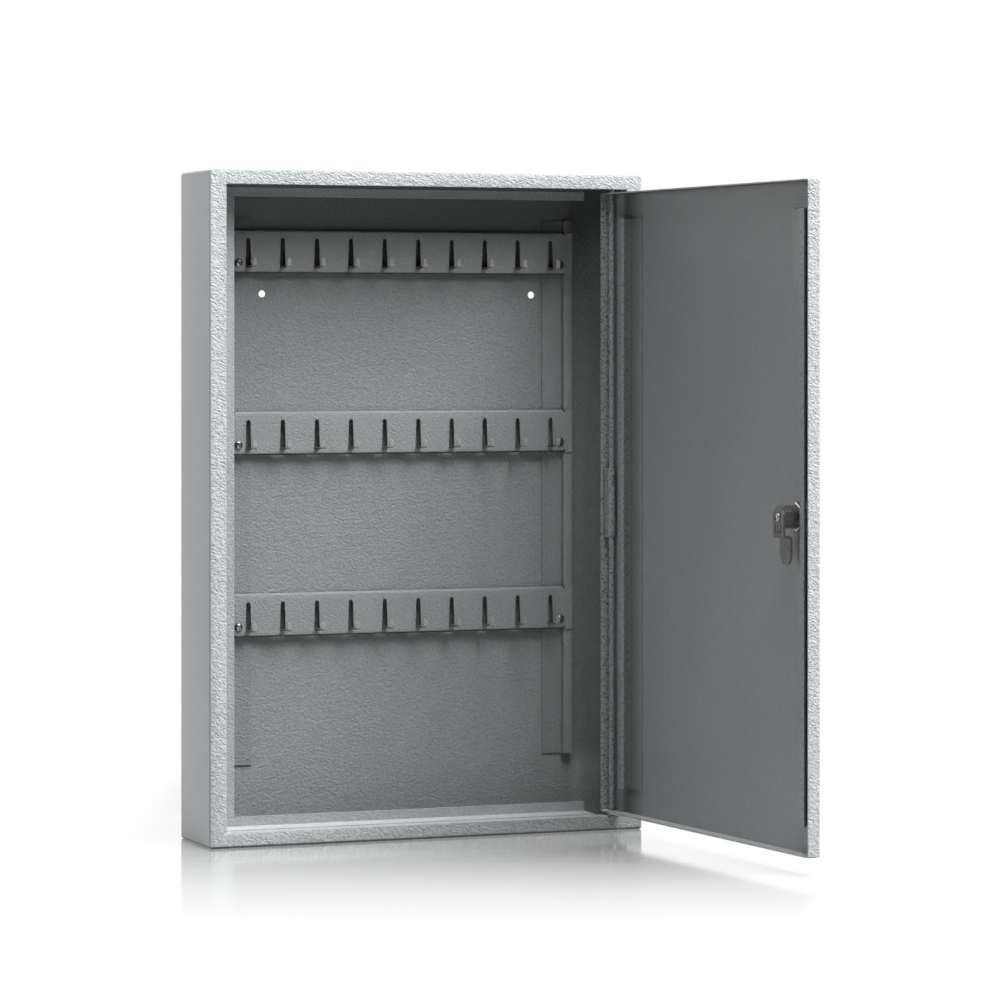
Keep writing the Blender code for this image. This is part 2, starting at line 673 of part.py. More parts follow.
def build_rails():
    """The three rails with their hooks, and the six screws that hold them."""
    profile = screw_profile(SCREW_RADIUS, SCREW_HEAD_RADIUS, SCREW_HEAD_HEIGHT, SCREW_LENGTH)
    for index, name in enumerate(RAIL_NAMES):
        base = rail_base(index)
        rail = place(name, rail_mesh(name, base), ZINC)
        thicken(rail, RAIL_SHEET)
        low = RAIL_FACE_Y - CUT_OVERRUN
        high = RAIL_BACK_Y + CUT_OVERRUN
        slots = prism_mesh(name + "_slots", slot_outlines(base), low, high, "Y")
        shape_with(rail, slots, "DIFFERENCE")
        screw_z = base + SCREW_RISE
        centres = [(side * SCREW_X, screw_z) for side in (-1, 1)]
        holes = rod_mesh(name + "_holes", centres, SCREW_RADIUS + SEAT_GAP, low, high, "Y")
        shape_with(rail, holes, "DIFFERENCE")
        shape_with(rail, hooks_mesh(name + "_hooks", base), "UNION", HOOK_SHEET)
        level = name.rsplit("_", 1)[1]
        for x, z in centres:
            title = f"rail_screw_{level}_{'left' if x < 0 else 'right'}"
            screw = place(title, turned_mesh(title, profile, SCREW_STEPS), STEEL, None,
                          (x, RAIL_FACE_Y - SEAT_GAP, z), (-pi / 2, 0, 0))
            shape_with(screw, cross_mesh(title + "_recess", SCREW_HEAD_HEIGHT), "DIFFERENCE")


def build_hinge():
    """The fixed hinge rod and the washer that the door rests on."""
    low = -HALF_HEIGHT + WALL_SEAT
    high = OPENING_Z + CASE_SHEET + ROD_OVERRUN
    rod = rod_mesh("hinge_rod", [(0, 0)], ROD_RADIUS, low, high)
    place("hinge_rod", rod, STEEL, None, (PIVOT_X, PIVOT_Y, 0))
    low = -OPENING_Z + SEAT_GAP
    high = -DOOR_Z - SEAT_GAP
    profile = [(PIN_HOLE, high), (WASHER_RADIUS, high), (WASHER_RADIUS, low), (PIN_HOLE, low)]
    place("hinge_washer", turned_mesh("hinge_washer", profile), BRASS, None,
          (PIVOT_X, PIVOT_Y, 0))


def z_bracket(name, corners, pivot):
    """A stiffening bracket inside the door, folded along the given line."""
    end = DOOR_Z - DOOR_BRACKET_MARGIN_END
    mesh = strip_mesh(name, rounded(corners, DOOR_BRACKET_BEND), -end, end, "Z")
    bracket = place(name, mesh, PAINT, pivot)
    thicken(bracket, DOOR_BRACKET_SHEET)
    return bracket


def build_door(pivot):
    """The door pan, its two stiffening brackets and the hinge sleeve."""
    spans = ((FREE_EDGE, ROD_INSET), (SKIN, SKIN + DOOR_FLANGE), (-DOOR_Z, DOOR_Z))
    mesh = tray_mesh("door_panel", spans, SKIN + DOOR_FLANGE, DOOR_BEND)
    door = place("door_panel", mesh, PAINT, pivot)
    thicken(door, DOOR_SHEET, -1)
    reach = DOOR_Z + CUT_OVERRUN
    shape_with(door, rod_mesh("pin_holes", [(0, 0)], PIN_HOLE, -reach, reach), "DIFFERENCE")
    radius = BARREL_RADIUS + SEAT_GAP
    flat = acos((BARREL_FLAT + SEAT_GAP) / radius)
    steps = ROUND_STEPS // 2
    outline = arc((LOCK_X, 0), radius, flat, pi - 2 * flat, steps)
    outline += arc((LOCK_X, 0), radius, pi + flat, pi - 2 * flat, steps)
    cut = prism_mesh("lock_opening", [outline], SKIN - CUT_OVERRUN, SKIN_INNER + CUT_OVERRUN, "Y")
    shape_with(door, cut, "DIFFERENCE")

    half = DOOR_BRACKET_SHEET / 2
    base_y = SKIN_SEAT + half
    face_y = SKIN_SEAT + DOOR_BRACKET_RISE - half
    edge = ROD_INSET - DOOR_BRACKET_MARGIN_HINGE
    web = edge - DOOR_BRACKET_FACE_HINGE
    corners = [(edge, face_y), (web + half, face_y), (web + half, base_y),
               (web - DOOR_BRACKET_BASE, base_y)]
    z_bracket("door_bracket_hinge_side", corners, pivot)
    edge = FREE_EDGE + DOOR_BRACKET_MARGIN_LOCK
    corners = [(edge, face_y), (LOCK_WEB - half, face_y), (LOCK_WEB - half, base_y),
               (LOCK_WEB + DOOR_BRACKET_BASE, base_y)]
    bracket = z_bracket("door_bracket_lock_side", corners, pivot)
    tall = NUT_CORNER + NUT_CLEARANCE
    notch = ((LOCK_WEB, LOCK_WEB + DOOR_BRACKET_BASE + CUT_OVERRUN),
             (SKIN_SEAT - CUT_OVERRUN, SKIN_SEAT + CUT_OVERRUN), (-tall, tall))
    shape_with(bracket, box_mesh("lock_notch", [notch]), "DIFFERENCE")

    ring = PIN_HOLE + SLEEVE_SHEET / 2
    foot = ROD_INSET - DOOR_SHEET - SEAT_GAP - SLEEVE_SHEET / 2
    foot_end = ring + SLEEVE_SHEET / 2 - SLEEVE_FOOT
    path = rounded([(foot, foot_end), (foot, ring), (0, ring)], SLEEVE_BEND)
    path += arc((0, 0), ring, pi / 2, SLEEVE_WRAP, SLEEVE_STEPS)[1:]
    end = SLEEVE_LENGTH / 2
    sleeve = place("hinge_sleeve", strip_mesh("hinge_sleeve", path, -end, end, "Z"), ZINC, pivot)
    thicken(sleeve, SLEEVE_SHEET)


def build_lock(pivot):
    """The lock's housing and nut, fixed to the door."""
    bore = PLUG_RADIUS + PLUG_GAP
    seat_bore = PLUG_COLLAR_RADIUS + PLUG_GAP
    seat = COLLAR_SEAT + PLUG_GAP
    rim = arc((LOCK_FACE_RADIUS - LOCK_FACE_ROUND, LOCK_FACE_FRONT + LOCK_FACE_ROUND),
              LOCK_FACE_ROUND, 0, -pi / 2, BEND_STEPS)
    profile = [(bore, BARREL_END), (BARREL_RADIUS, BARREL_END), (BARREL_RADIUS, LOCK_FACE_BACK),
               (LOCK_FACE_RADIUS, LOCK_FACE_BACK)]
    profile += rim + [(seat_bore, LOCK_FACE_FRONT), (seat_bore, seat), (bore, seat)]
    housing = place("lock_housing", turned_mesh("lock_housing", profile, FACE_STEPS), DARK_ZINC,
                    pivot, (LOCK_X, 0, 0), (-pi / 2, 0, 0))
    depth = (LOCK_FACE_BACK + SEAT_GAP / 2, BARREL_END + CUT_OVERRUN)
    tall = (-BARREL_RADIUS, BARREL_RADIUS)
    wide = BARREL_RADIUS + CUT_OVERRUN
    flats = [((-wide, -BARREL_FLAT), tall, depth), ((BARREL_FLAT, wide), tall, depth)]
    shape_with(housing, box_mesh("barrel_flats", flats), "DIFFERENCE")

    corners = [pi / 2 + pi / 3 * i for i in range(6)]
    outline = [(NUT_CORNER * cos(t), NUT_CORNER * sin(t)) for t in corners]
    top = SKIN_SEAT + NUT_THICKNESS
    nut = place("lock_nut", prism_mesh("lock_nut", [outline], SKIN_SEAT, top), STEEL, pivot,
                (LOCK_X, 0, 0), (-pi / 2, 0, 0))
    chamfer = nut.modifiers.new("chamfer", "BEVEL")
    chamfer.width = NUT_CHAMFER
    chamfer.segments = 1
    chamfer.limit_method = "ANGLE"
    chamfer.angle_limit = NUT_CHAMFER_ANGLE
    hole = rod_mesh("nut_hole", [(0, 0)], BARREL_RADIUS + SEAT_GAP, SKIN_SEAT - CUT_OVERRUN,
                    top + CUT_OVERRUN)
    shape_with(nut, hole, "DIFFERENCE")


def build_plug(pivot):
    """The keyed plug with its five wafers; the origin is the lock's axis."""
    turn = (-pi / 2, 0, 0)
    profile = [(0, PLUG_END), (PLUG_RADIUS, PLUG_END), (PLUG_RADIUS, COLLAR_SEAT),
               (PLUG_COLLAR_RADIUS, COLLAR_SEAT), (PLUG_COLLAR_RADIUS, LOCK_FACE_FRONT),
               (0, LOCK_FACE_FRONT)]
    plug = place("lock_plug", turned_mesh("lock_plug", profile), DARK_ZINC, pivot,
                 rotation=turn)
    tail = (-TAIL_HALF, TAIL_HALF)
    tail_end = CAM_BASE_BACK - SEAT_GAP
    shape_with(plug, box_mesh("plug_tail", [(tail, tail, (PLUG_END - CUT_OVERRUN, tail_end))]),
               "UNION")
    spans = []
    for i in range(WAFER_COUNT):
        start = LOCK_FACE_FRONT + WAFER_START + i * WAFER_PITCH
        spans.append((start, start + WAFER_THICKNESS))
    side = WAFER_WIDTH / 2 + PLUG_GAP
    tall = PLUG_RADIUS + CUT_OVERRUN
    slots = [((-side, side), (-tall, tall), (low - PLUG_GAP, high + PLUG_GAP))
             for low, high in spans]
    shape_with(plug, box_mesh("wafer_slots", slots), "DIFFERENCE")
    side = KEYWAY_WIDTH / 2
    tall = KEYWAY_HEIGHT / 2
    depth = (LOCK_FACE_FRONT - CUT_OVERRUN, LOCK_FACE_FRONT + KEYWAY_DEPTH)
    shape_with(plug, box_mesh("keyway", [((-side, side), (-tall, tall), depth)]), "DIFFERENCE")
    drill = rod_mesh("tail_hole", [(0, 0)], CAM_SCREW_RADIUS + SEAT_GAP,
                     CAM_BASE_BACK - CAM_SCREW_LENGTH, CAM_BASE_BACK + CUT_OVERRUN)
    shape_with(plug, drill, "DIFFERENCE")
    for i, (low, high) in enumerate(spans):
        name = f"lock_wafer_{i + 1}"
        side = WAFER_WIDTH / 2
        tall = WAFER_HEIGHT / 2
        mesh = box_mesh(name, [((-side, side), (-tall, tall), (low, high))])
        wafer = place(name, mesh, BRASS, pivot, rotation=turn)
        side = WAFER_WINDOW_WIDTH / 2
        tall = WAFER_WINDOW_HEIGHT / 2
        window = ((-side, side), (-tall, tall), (low - PLUG_GAP, high + PLUG_GAP))
        shape_with(wafer, box_mesh(name + "_window", [window]), "DIFFERENCE")


def build_cam(pivot):
    """The cranked cam on the plug's tail, and its screw; the origin is the lock's axis."""
    base_y = CAM_BASE_FRONT + CAM_SHEET / 2
    finger_y = CAM_FINGER_FRONT + CAM_SHEET / 2
    end = CAM_WIDTH / 2
    wide = end + CUT_OVERRUN
    corners = [(wide, base_y), (-CAM_CRANK, base_y), (-CAM_CRANK, finger_y),
               (CAM_TIP - CUT_OVERRUN, finger_y)]
    mesh = strip_mesh("lock_cam", rounded(corners, CAM_BEND), -wide, wide, "Z")
    cam = place("lock_cam", mesh, ZINC, pivot)
    thicken(cam, CAM_SHEET)
    outline = arc((0, 0), end, -pi / 2, pi, ROUND_STEPS // 2)
    outline += arc((CAM_TIP + end, 0), end, pi / 2, pi, ROUND_STEPS // 2)
    low = CAM_FINGER_FRONT - CUT_OVERRUN
    high = CAM_BASE_BACK + CUT_OVERRUN
    shape_with(cam, prism_mesh("cam_outline", [outline], low, high, "Y"), "INTERSECT")
    hole = TAIL_HALF + SEAT_GAP
    square = ((-hole, hole), (CAM_BASE_FRONT - CUT_OVERRUN, high), (-hole, hole))
    shape_with(cam, box_mesh("cam_square", [square]), "DIFFERENCE")
    start = CAM_SCREW_HEAD_RADIUS + CAM_GROOVE_WIDTH
    grooves = []
    for i in range(CAM_GROOVE_COUNT):
        z = (i - (CAM_GROOVE_COUNT - 1) / 2) * CAM_GROOVE_PITCH
        grooves.append(((CAM_BEND - CAM_CRANK, -start),
                        (CAM_BASE_BACK - CAM_GROOVE_DEPTH, high),
                        (z - CAM_GROOVE_WIDTH / 2, z + CAM_GROOVE_WIDTH / 2)))
    shape_with(cam, box_mesh("cam_grooves", grooves), "DIFFERENCE")

    profile = screw_profile(CAM_SCREW_RADIUS, CAM_SCREW_HEAD_RADIUS, CAM_SCREW_HEAD_HEIGHT,
                            CAM_SCREW_LENGTH - CUT_OVERRUN)
    screw = place("cam_screw", turned_mesh("cam_screw", profile, SCREW_STEPS), STEEL, pivot,
                  (0, CAM_BASE_BACK + SEAT_GAP, 0), (pi / 2, 0, 0))
    shape_with(screw, cross_mesh("cam_screw_recess", CAM_SCREW_HEAD_HEIGHT), "DIFFERENCE")


clear_scene()
PARTS = new_collection("key_cabinet")
CUTTERS = new_collection("cutters")

door_pivot = new_empty("door_pivot", None, (PIVOT_X, PIVOT_Y, 0), (0, 0, DOOR_OPEN))
lock_pivot = new_empty("lock_pivot", door_pivot, (LOCK_X, 0, 0), (0, -pi / 2, 0))

build_case()
build_stops()
build_brackets()
build_rails()
build_hinge()
build_door(door_pivot)
build_lock(door_pivot)
build_plug(lock_pivot)
build_cam(lock_pivot)
bpy.context.view_layer.update()
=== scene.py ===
"""Finish, light, floor and camera for the wall key cabinet with its door open.

Metres, +Z up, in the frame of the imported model: the wall plane is y = 0, the front looks towards
-Y, and x = 0 and z = 0 are the middle of the cabinet's width and height.
"""

import json
from math import cos, pi, radians, sin

import bmesh
import bpy
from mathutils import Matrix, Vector

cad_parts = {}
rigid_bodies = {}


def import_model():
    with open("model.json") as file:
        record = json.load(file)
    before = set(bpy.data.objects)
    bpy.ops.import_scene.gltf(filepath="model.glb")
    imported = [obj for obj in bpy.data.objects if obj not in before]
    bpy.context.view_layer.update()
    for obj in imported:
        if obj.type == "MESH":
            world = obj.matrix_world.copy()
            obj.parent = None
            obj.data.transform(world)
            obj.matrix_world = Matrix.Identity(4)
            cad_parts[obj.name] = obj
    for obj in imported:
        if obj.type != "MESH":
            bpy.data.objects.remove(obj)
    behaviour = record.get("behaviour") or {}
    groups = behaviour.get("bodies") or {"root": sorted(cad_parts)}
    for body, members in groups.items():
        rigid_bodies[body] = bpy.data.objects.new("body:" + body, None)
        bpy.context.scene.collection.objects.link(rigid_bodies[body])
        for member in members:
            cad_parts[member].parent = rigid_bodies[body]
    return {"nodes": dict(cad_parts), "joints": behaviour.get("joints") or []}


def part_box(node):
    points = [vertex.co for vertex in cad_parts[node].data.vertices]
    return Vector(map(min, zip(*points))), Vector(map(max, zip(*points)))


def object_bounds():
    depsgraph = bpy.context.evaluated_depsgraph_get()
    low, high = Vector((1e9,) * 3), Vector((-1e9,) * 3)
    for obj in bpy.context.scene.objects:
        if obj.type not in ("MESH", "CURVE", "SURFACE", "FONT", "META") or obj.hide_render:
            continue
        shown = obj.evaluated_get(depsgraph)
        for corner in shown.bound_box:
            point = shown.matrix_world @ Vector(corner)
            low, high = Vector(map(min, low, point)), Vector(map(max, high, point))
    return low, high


# Camera
CAMERA_PLACE = (-1.150, -3.187, 0.136)
CAMERA_TURN = radians(-21.30)
CAMERA_LENS = 144.6
CAMERA_SENSOR = 36.0
CAMERA_SHIFT_Y = -0.1593

# Floor and backdrop
FLOOR_SIZE = 14.0
FLOOR_COLOUR = (0.40, 0.40, 0.40)
FLOOR_GLOW = 0.62               # the seen floor's own share of white, before the lamps' light
SHADOW_FADE = (0.55, 1.00)      # where the cabinet's shadow fades to white, from the origin
SHADOW_LEFT = (-0.185, -0.235)  # and where it does so beside the cabinet
MIRROR_SHARE = 0.76             # strongest reflection in the floor, next to the cabinet
MIRROR_ROUGHNESS = 0.10
MIRROR_FRONT = (-0.699, -0.133)     # from where it has faded away, near the viewer, to full
MIRROR_FALL = 1.9               # how steeply it fades
MIRROR_BACK = (0.08, 0.30)      # where it fades away behind the cabinet
MIRROR_LEFT = (-0.20, -0.34)    # beside it on the left
MIRROR_RIGHT = (0.38, 0.52)     # and on the right
WHITE = (1.0, 1.0, 1.0)
FRONT_GLOSS = (0.12, 0.12, 0.12)    # what gloss mirrors from the viewer's side
GLOSS_TURN = (-0.40, -0.10)     # how far a ray looks to the back where that turns to white

# Lamps: name, azimuth from the front towards +X, elevation, width, height, power
AIM = (0.05, -0.20, 0.0)
LAMP_DISTANCE = 2.6
LAMPS = (
    ("high_lamp", -5, 62, 1.2, 1.2, 31.0),
    ("key_lamp", 25, 45, 1.2, 1.2, 32.0),
    ("right_lamp", 55, 62, 1.2, 1.2, 26.0),
    ("edge_lamp", 66, 0, 0.4, 0.4, 15.0),
    ("left_lamp", -110, 12, 1.2, 1.2, 8.0),
    ("back_lamp", 180, 35, 1.2, 1.2, 16.0),
)
AMBIENT = (0.01, 0.01, 0.01)

# Axes of the model
UP = (0.0, 0.0, 1.0)
DOWN = (0.0, 0.0, -1.0)
LEFT = (-1.0, 0.0, 0.0)
RIGHT = (1.0, 0.0, 0.0)
FRONT = (0.0, -1.0, 0.0)
FOLD_AXIS = (-0.88, -0.475, 0.0)    # of the middle facet of the frame's left fold, which gets painted shade
WEB_AXIS = (0.08, -0.997, 0.0)      # of the door brackets' webs that face the viewer, which get painted shade

# Tones of the paint: its own colour outside, and paler and darker copies of it that paint light
# and shade in
PAINT = (0.804, 0.84, 0.853)        # the paint's own colour, outside
LIT_SHELF_PAINT = (0.96, 1.0, 1.0)      # painted light: a paler copy of the paint on upward faces of the frame, the stops and the door's foot
# Painted shade: darker copies of the paint on the stops inside the frame
SHADED_STOP_PAINT = (0.479, 0.50, 0.508)
SHADED_SIDE_STOP_PAINT = (0.555, 0.58, 0.589)
SHADED_BACK_PAINT = (0.345, 0.36, 0.365)   # painted shade: a darker copy of the paint inside, on the back panel
SHADED_WALL_PAINT = (0.263, 0.275, 0.279)  # the same painted shade, darker, on the casing's walls
SHADED_PAN_PAINT = (0.455, 0.475, 0.482)   # the same painted shade on the door's inside
# Painted shade: darker copies of the paint on the rails and the rail brackets
SHADED_RAIL_PAINT = (0.374, 0.39, 0.396)
SHADED_LEG_PAINT = (0.402, 0.42, 0.426)    # the same painted shade on the rail brackets' front faces
SHADED_HINGE_PAINT = (0.484, 0.505, 0.513)     # painted shade: a darker copy of the paint, paler than the door's inside, on the hinge rod, its sleeve and the door's brackets
PALE_LIP = (0.47, 0.47, 0.47)      # a paler tone on the hooks' lips

# Tones of the metals
DARK_STEEL = (0.34, 0.34, 0.35)
BRIGHT_STEEL = (0.80, 0.80, 0.80)
ZINC = (0.33, 0.33, 0.32)
BRASS = (0.62, 0.46, 0.22)

# Shares of the tone: painted light and shade, and the paint's own pits, clouds and wear
UNDERSIDE_SHARE = 0.20          # painted shade on downward faces
FRONT_SHARES = (1.17, 0.89)     # painted light and shade on the casing's front, from left to right
FOOT_SHARE = 0.62               # painted shade on the frame's foot, at the hinge
FOLD_SHARE = 0.62               # painted shade on the frame's left fold
WALL_SHARES = (0.50, 1.36)      # painted shade and light on the inner walls, from the back to the front
EDGE_SHARE = 1.08               # painted highlight on the door's front edge
DOOR_SHARES = (1.08, 0.78)      # painted light and shade on the door, from its bottom to its top
HINGE_SHARE = 0.38              # painted shade inside the door, beside the hinge
WEB_SHARE = 0.36                # painted shade on the door brackets' webs
ARM_SHARE = 0.45                # painted shade on the hooks' arms
TOP_SHARE = 0.47                # painted shade at the top of the back panel
UPPER_SHARE = 0.84              # painted shade below that, above its middle
END_SHARE = 0.85                # painted shade at its end beside the hinge
STRIP_SHARES = (1.10, 1.70)     # painted light on its strip right of the rail bracket, from left to right
CORNER_SHARES = (0.56, 0.72)    # and painted shadow of the bracket there once more, where it stands beside it
PIT_SHARES = (0.85, 1.05)       # from the creases to the cells between them
DEEP_SHARES = (0.40, 1.05)      # the same where the paint is pitted
CLOUD_SHARES = ((0.94, 0.94, 0.94), (1.05, 1.05, 1.05))
WEAR_AND_HIGHLIGHT_GAIN = 0.16                # added on edges: wear, and a painted highlight
CREVICE_SHADE_SHARE = 0.45              # painted shade deep in corners and gaps
BACK_CREVICE_SHADE_SHARE = 0.70         # that painted shade on the back panel
BRACKET_CREVICE_SHADE_SHARE = 0.92      # and the same painted shade on the door's brackets

# Where those places are
SKIN = 0.0006                   # half a sheet, which parts its outer from its inner face
SIDE_SKIN = 0.003               # how far in the casing's smooth sides reach
SHELF_DROP = 0.005              # how far below the casing's top the painted light on upward faces starts
FOOT_START = 0.06               # where the foot's painted shade starts, from the casing's left side
FOOT_HEIGHT = 0.012
FOOT_FADE = 0.003
FRAME_DEPTH = 0.012             # from the casing's front to the end of the frame's return
PAN_BOX = ((-0.3355, -0.0045, -0.2585), (0.0100, 0.0070, 0.2585))   # where the door's inside gets painted shade; in the door, from the hinge
WEB_BOX = ((-0.3400, -0.0060, -0.2700), (0.0100, -0.0024, 0.2700))  # the door brackets' bases, which get the door's painted shade
BASE_DEPTH = 0.0048             # of the rail brackets' bases, in front of the wall, which get the back's painted shade
HINGE_DARK = (-0.051, -0.026)   # where painted shade darkens the door towards the hinge, in front of it
HINGE_CLEAR = (-0.018, -0.012)  # and where that ends
FLANGE_START = 0.004            # where the door's pitted flange starts, behind the hinge
DIM_DROP = 0.08                 # where the painted shade at the top of the back starts, below the casing's top
DIM_RISE = 0.05                 # and how far on it is full
UPPER_RISE = (-0.11, -0.02)     # where painted shade darkens the back below it, from that start
END_MARGIN = 0.024              # where the painted shade at the back's end starts, left of the hinge
END_FADE = 0.012
CORNER_WIDTH = 0.024            # of the strip right of the rail bracket
CORNER_RISE = (-0.012, 0.004)   # where the painted shadow on it sets in, from the bracket's lower end
LIP_DEPTH = 0.0016              # only the hooks' lips lie in front of this, from the rail's front
ARM_LENGTH = 0.0145             # from there to the rail's face
HOOK_FADE = 0.0004

# Ranges of a face's turn towards an axis, as a cosine, from none to full
FACE_TURN = (0.5, 0.9)
UNDERSIDE_TURN = (0.15, 0.55)
SHELF_TURN = (0.85, 0.97)
FOLD_TURN = (0.93, 0.99)
WORN_TURN = (1.0, 0.93)         # of the shading's normal from the face's own, on the edges made paler

# Relief of the paint, as the strength of its bump
RELIEF = 0.70
SIDE_RELIEF_SHARE = 0.08        # on the casing's sides
TOP_RELIEF_SHARE = 0.25         # at the top of the back
WALL_RELIEF = 0.2
INNER_RELIEF = 0.3
STOP_RELIEF = 0.4
BACK_RELIEF = 0.39
LEG_RELIEF = 0.35
ROD_RELIEF = 0.42
RAIL_RELIEF = 0.32
BUMP_DEPTH = 0.0020

# Texture of the paint and the metal
CREASE_SCALE = 520.0
CREASE_HEIGHT = 3.0
GRAIN_SCALE = 900.0
GRAIN_HEIGHT = 0.6
CLOUD_SCALE = 9.0
SMUDGE_SCALE = 220.0
STREAKS = (0.68, 1.0, 1.28)     # how tightly the creases are packed along their own axes
BACK_STREAKS = (0.85, 0.85, 1.23)
EVEN = (1.0, 1.0, 1.0)
LEAN = radians(-27)             # by which those axes lean
BACK_LEAN = radians(-18)
PIT_RANGE = (0.36, 0.60)        # of the creases' noise
DEEP_RANGE = (0.38, 0.50)
PIT_GAIN = 2.0                  # how fast the pits' tone comes in with the relief
GRAIN_RANGE = (0.3, 0.7)        # of the grain's and the smudges' noise
PAINT_ROUGHNESS = (0.30, 0.42)
CREVICE_SHADE_REACH = 0.006             # how far from a corner the painted shade starts
CREVICE_SHADE_RANGE = (0.25, 0.75)      # of the open share of a point's surroundings
EDGE_RADIUS = 0.0006            # of the rounding that the shading gives to folds and cut edges
WEAR_AND_HIGHLIGHT_RADIUS = 0.0009            # how wide edges are made paler on paint, for wear and a painted highlight
METAL_WORN_RADIUS = 0.0004      # and how wide edges are worn on metal
METAL_RELIEF = 0.15
METAL_BUMP_DEPTH = 0.0002
SMUDGED_SHARE = 0.86            # of a metal's tone, and of its brightest on worn edges
BRIGHT_SHARE = 1.25
BRIGHT_GAIN = 0.4
SMUDGE_ROUGHNESS = (0.8, 1.25)  # shares of a metal's roughness
SMOOTH_ANGLE = radians(35)
WELD_DISTANCE = 0.00001


def add_node(tree, kind, inputs=None, **settings):
    """Adds a node, sets its properties, and sets or links its inputs."""
    node = tree.nodes.new(kind)
    for name, value in settings.items():
        setattr(node, name, value)
    for name, value in (inputs or {}).items():
        if isinstance(value, bpy.types.NodeSocket):
            tree.links.new(value, node.inputs[name])
        else:
            node.inputs[name].default_value = value
    return node


def maths(tree, operation, *values, clamp=False):
    """The result of a Math node."""
    node = add_node(tree, "ShaderNodeMath", dict(enumerate(values)), operation=operation,
                    use_clamp=clamp)
    return node.outputs[0]


def vector_maths(tree, operation, *values):
    """The vector that a Vector Math node results in."""
    node = add_node(tree, "ShaderNodeVectorMath", dict(enumerate(values)), operation=operation)
    return node.outputs["Vector"]


def along(tree, vector, axis):
    """How far a vector reaches along an axis."""
    node = add_node(tree, "ShaderNodeVectorMath", {0: vector, 1: axis}, operation="DOT_PRODUCT")
    return node.outputs["Value"]


def remap(tree, value, low, high, to_low, to_high, smooth=False):
    """The result of a Map Range node."""
    kind = "SMOOTHSTEP" if smooth else "LINEAR"
    node = add_node(tree, "ShaderNodeMapRange",
                    {"Value": value, "From Min": low, "From Max": high, "To Min": to_low,
                     "To Max": to_high}, interpolation_type=kind)
    return node.outputs[0]


def blend_value(tree, factor, first, second):
    """The result of a float Mix node."""
    node = add_node(tree, "ShaderNodeMix", {0: factor, 2: first, 3: second}, data_type="FLOAT")
    return node.outputs[0]


def blend_colour(tree, factor, first, second, how="MIX"):
    """The result of a colour Mix node."""
    node = add_node(tree, "ShaderNodeMix", data_type="RGBA", blend_type=how)
    for index, value in ((0, factor), (6, first), (7, second)):
        if isinstance(value, bpy.types.NodeSocket):
            tree.links.new(value, node.inputs[index])
        elif index == 0:
            node.inputs[index].default_value = value
        else:
            node.inputs[index].default_value = (*value, 1.0)
    return node.outputs[2]


def blend_shader(tree, factor, first, second):
    """The result of a Mix Shader node."""
    return add_node(tree, "ShaderNodeMixShader", {0: factor, 1: first, 2: second}).outputs[0]


def noise(tree, place, scale, detail=2.0, roughness=0.5, distortion=0.0):
    """The value of a Noise texture."""
    node = add_node(tree, "ShaderNodeTexNoise",
                    {"Vector": place, "Scale": scale, "Detail": detail, "Roughness": roughness,
                     "Distortion": distortion})
    return node.outputs["Fac"]


def scaled(colour, share):
    """A colour times a share, at most white."""
    return tuple(min(1.0, channel * share) for channel in colour)


def new_material(name):
    """A material with its tree, its shader and its place on the object."""
    material = bpy.data.materials.new(name)
    material.use_nodes = True
    tree = material.node_tree
    shader = tree.nodes["Principled BSDF"]
    place = add_node(tree, "ShaderNodeTexCoord").outputs["Object"]
    return material, tree, shader, place


def link_shader(tree, shader, tone, rough, bump):
    """Links a Principled shader's colour, roughness and normal."""
    tree.links.new(tone, shader.inputs["Base Color"])
    tree.links.new(rough, shader.inputs["Roughness"])
    tree.links.new(bump.outputs[0], shader.inputs["Normal"])


def worn_edges(tree, radius):
    """How close a point is to a convex or concave edge, from 0 to 1."""
    soft = add_node(tree, "ShaderNodeBevel", {"Radius": radius}, samples=4).outputs[0]
    flat = add_node(tree, "ShaderNodeNewGeometry").outputs["Normal"]
    return remap(tree, along(tree, soft, flat), *WORN_TURN, 0.0, 1.0)


def crevice_shade(tree, least):
    """Painted shade: the share of the tone that is left in corners and gaps."""
    open_share = add_node(tree, "ShaderNodeAmbientOcclusion", {"Distance": CREVICE_SHADE_REACH},
                          samples=8).outputs["AO"]
    return remap(tree, open_share, *CREVICE_SHADE_RANGE, least, 1.0)


def inside_box(tree, place, low, high, turn=0.0, pivot=(0.0, 0.0, 0.0)):
    """1 inside a box, given in axes turned about Z at a pivot, else 0."""
    own = add_node(tree, "ShaderNodeVectorRotate",
                   {"Vector": place, "Center": pivot, "Angle": -turn},
                   rotation_type="Z_AXIS").outputs[0]
    low = Vector(low)
    high = Vector(high)
    middle = (low + high) / 2
    reach = vector_maths(tree, "ABSOLUTE", vector_maths(tree, "SUBTRACT", own, middle))
    room = vector_maths(tree, "SUBTRACT", high - middle, reach)
    x, y, z = add_node(tree, "ShaderNodeSeparateXYZ", {0: room}).outputs
    least = maths(tree, "MINIMUM", x, maths(tree, "MINIMUM", y, z))
    return maths(tree, "GREATER_THAN", least, 0.0)


def facing(tree, axis, turn=FACE_TURN):
    """0 to 1 as a face turns towards an axis of its object."""
    normal = add_node(tree, "ShaderNodeTexCoord").outputs["Normal"]
    return remap(tree, along(tree, normal, axis), *turn, 0.0, 1.0)


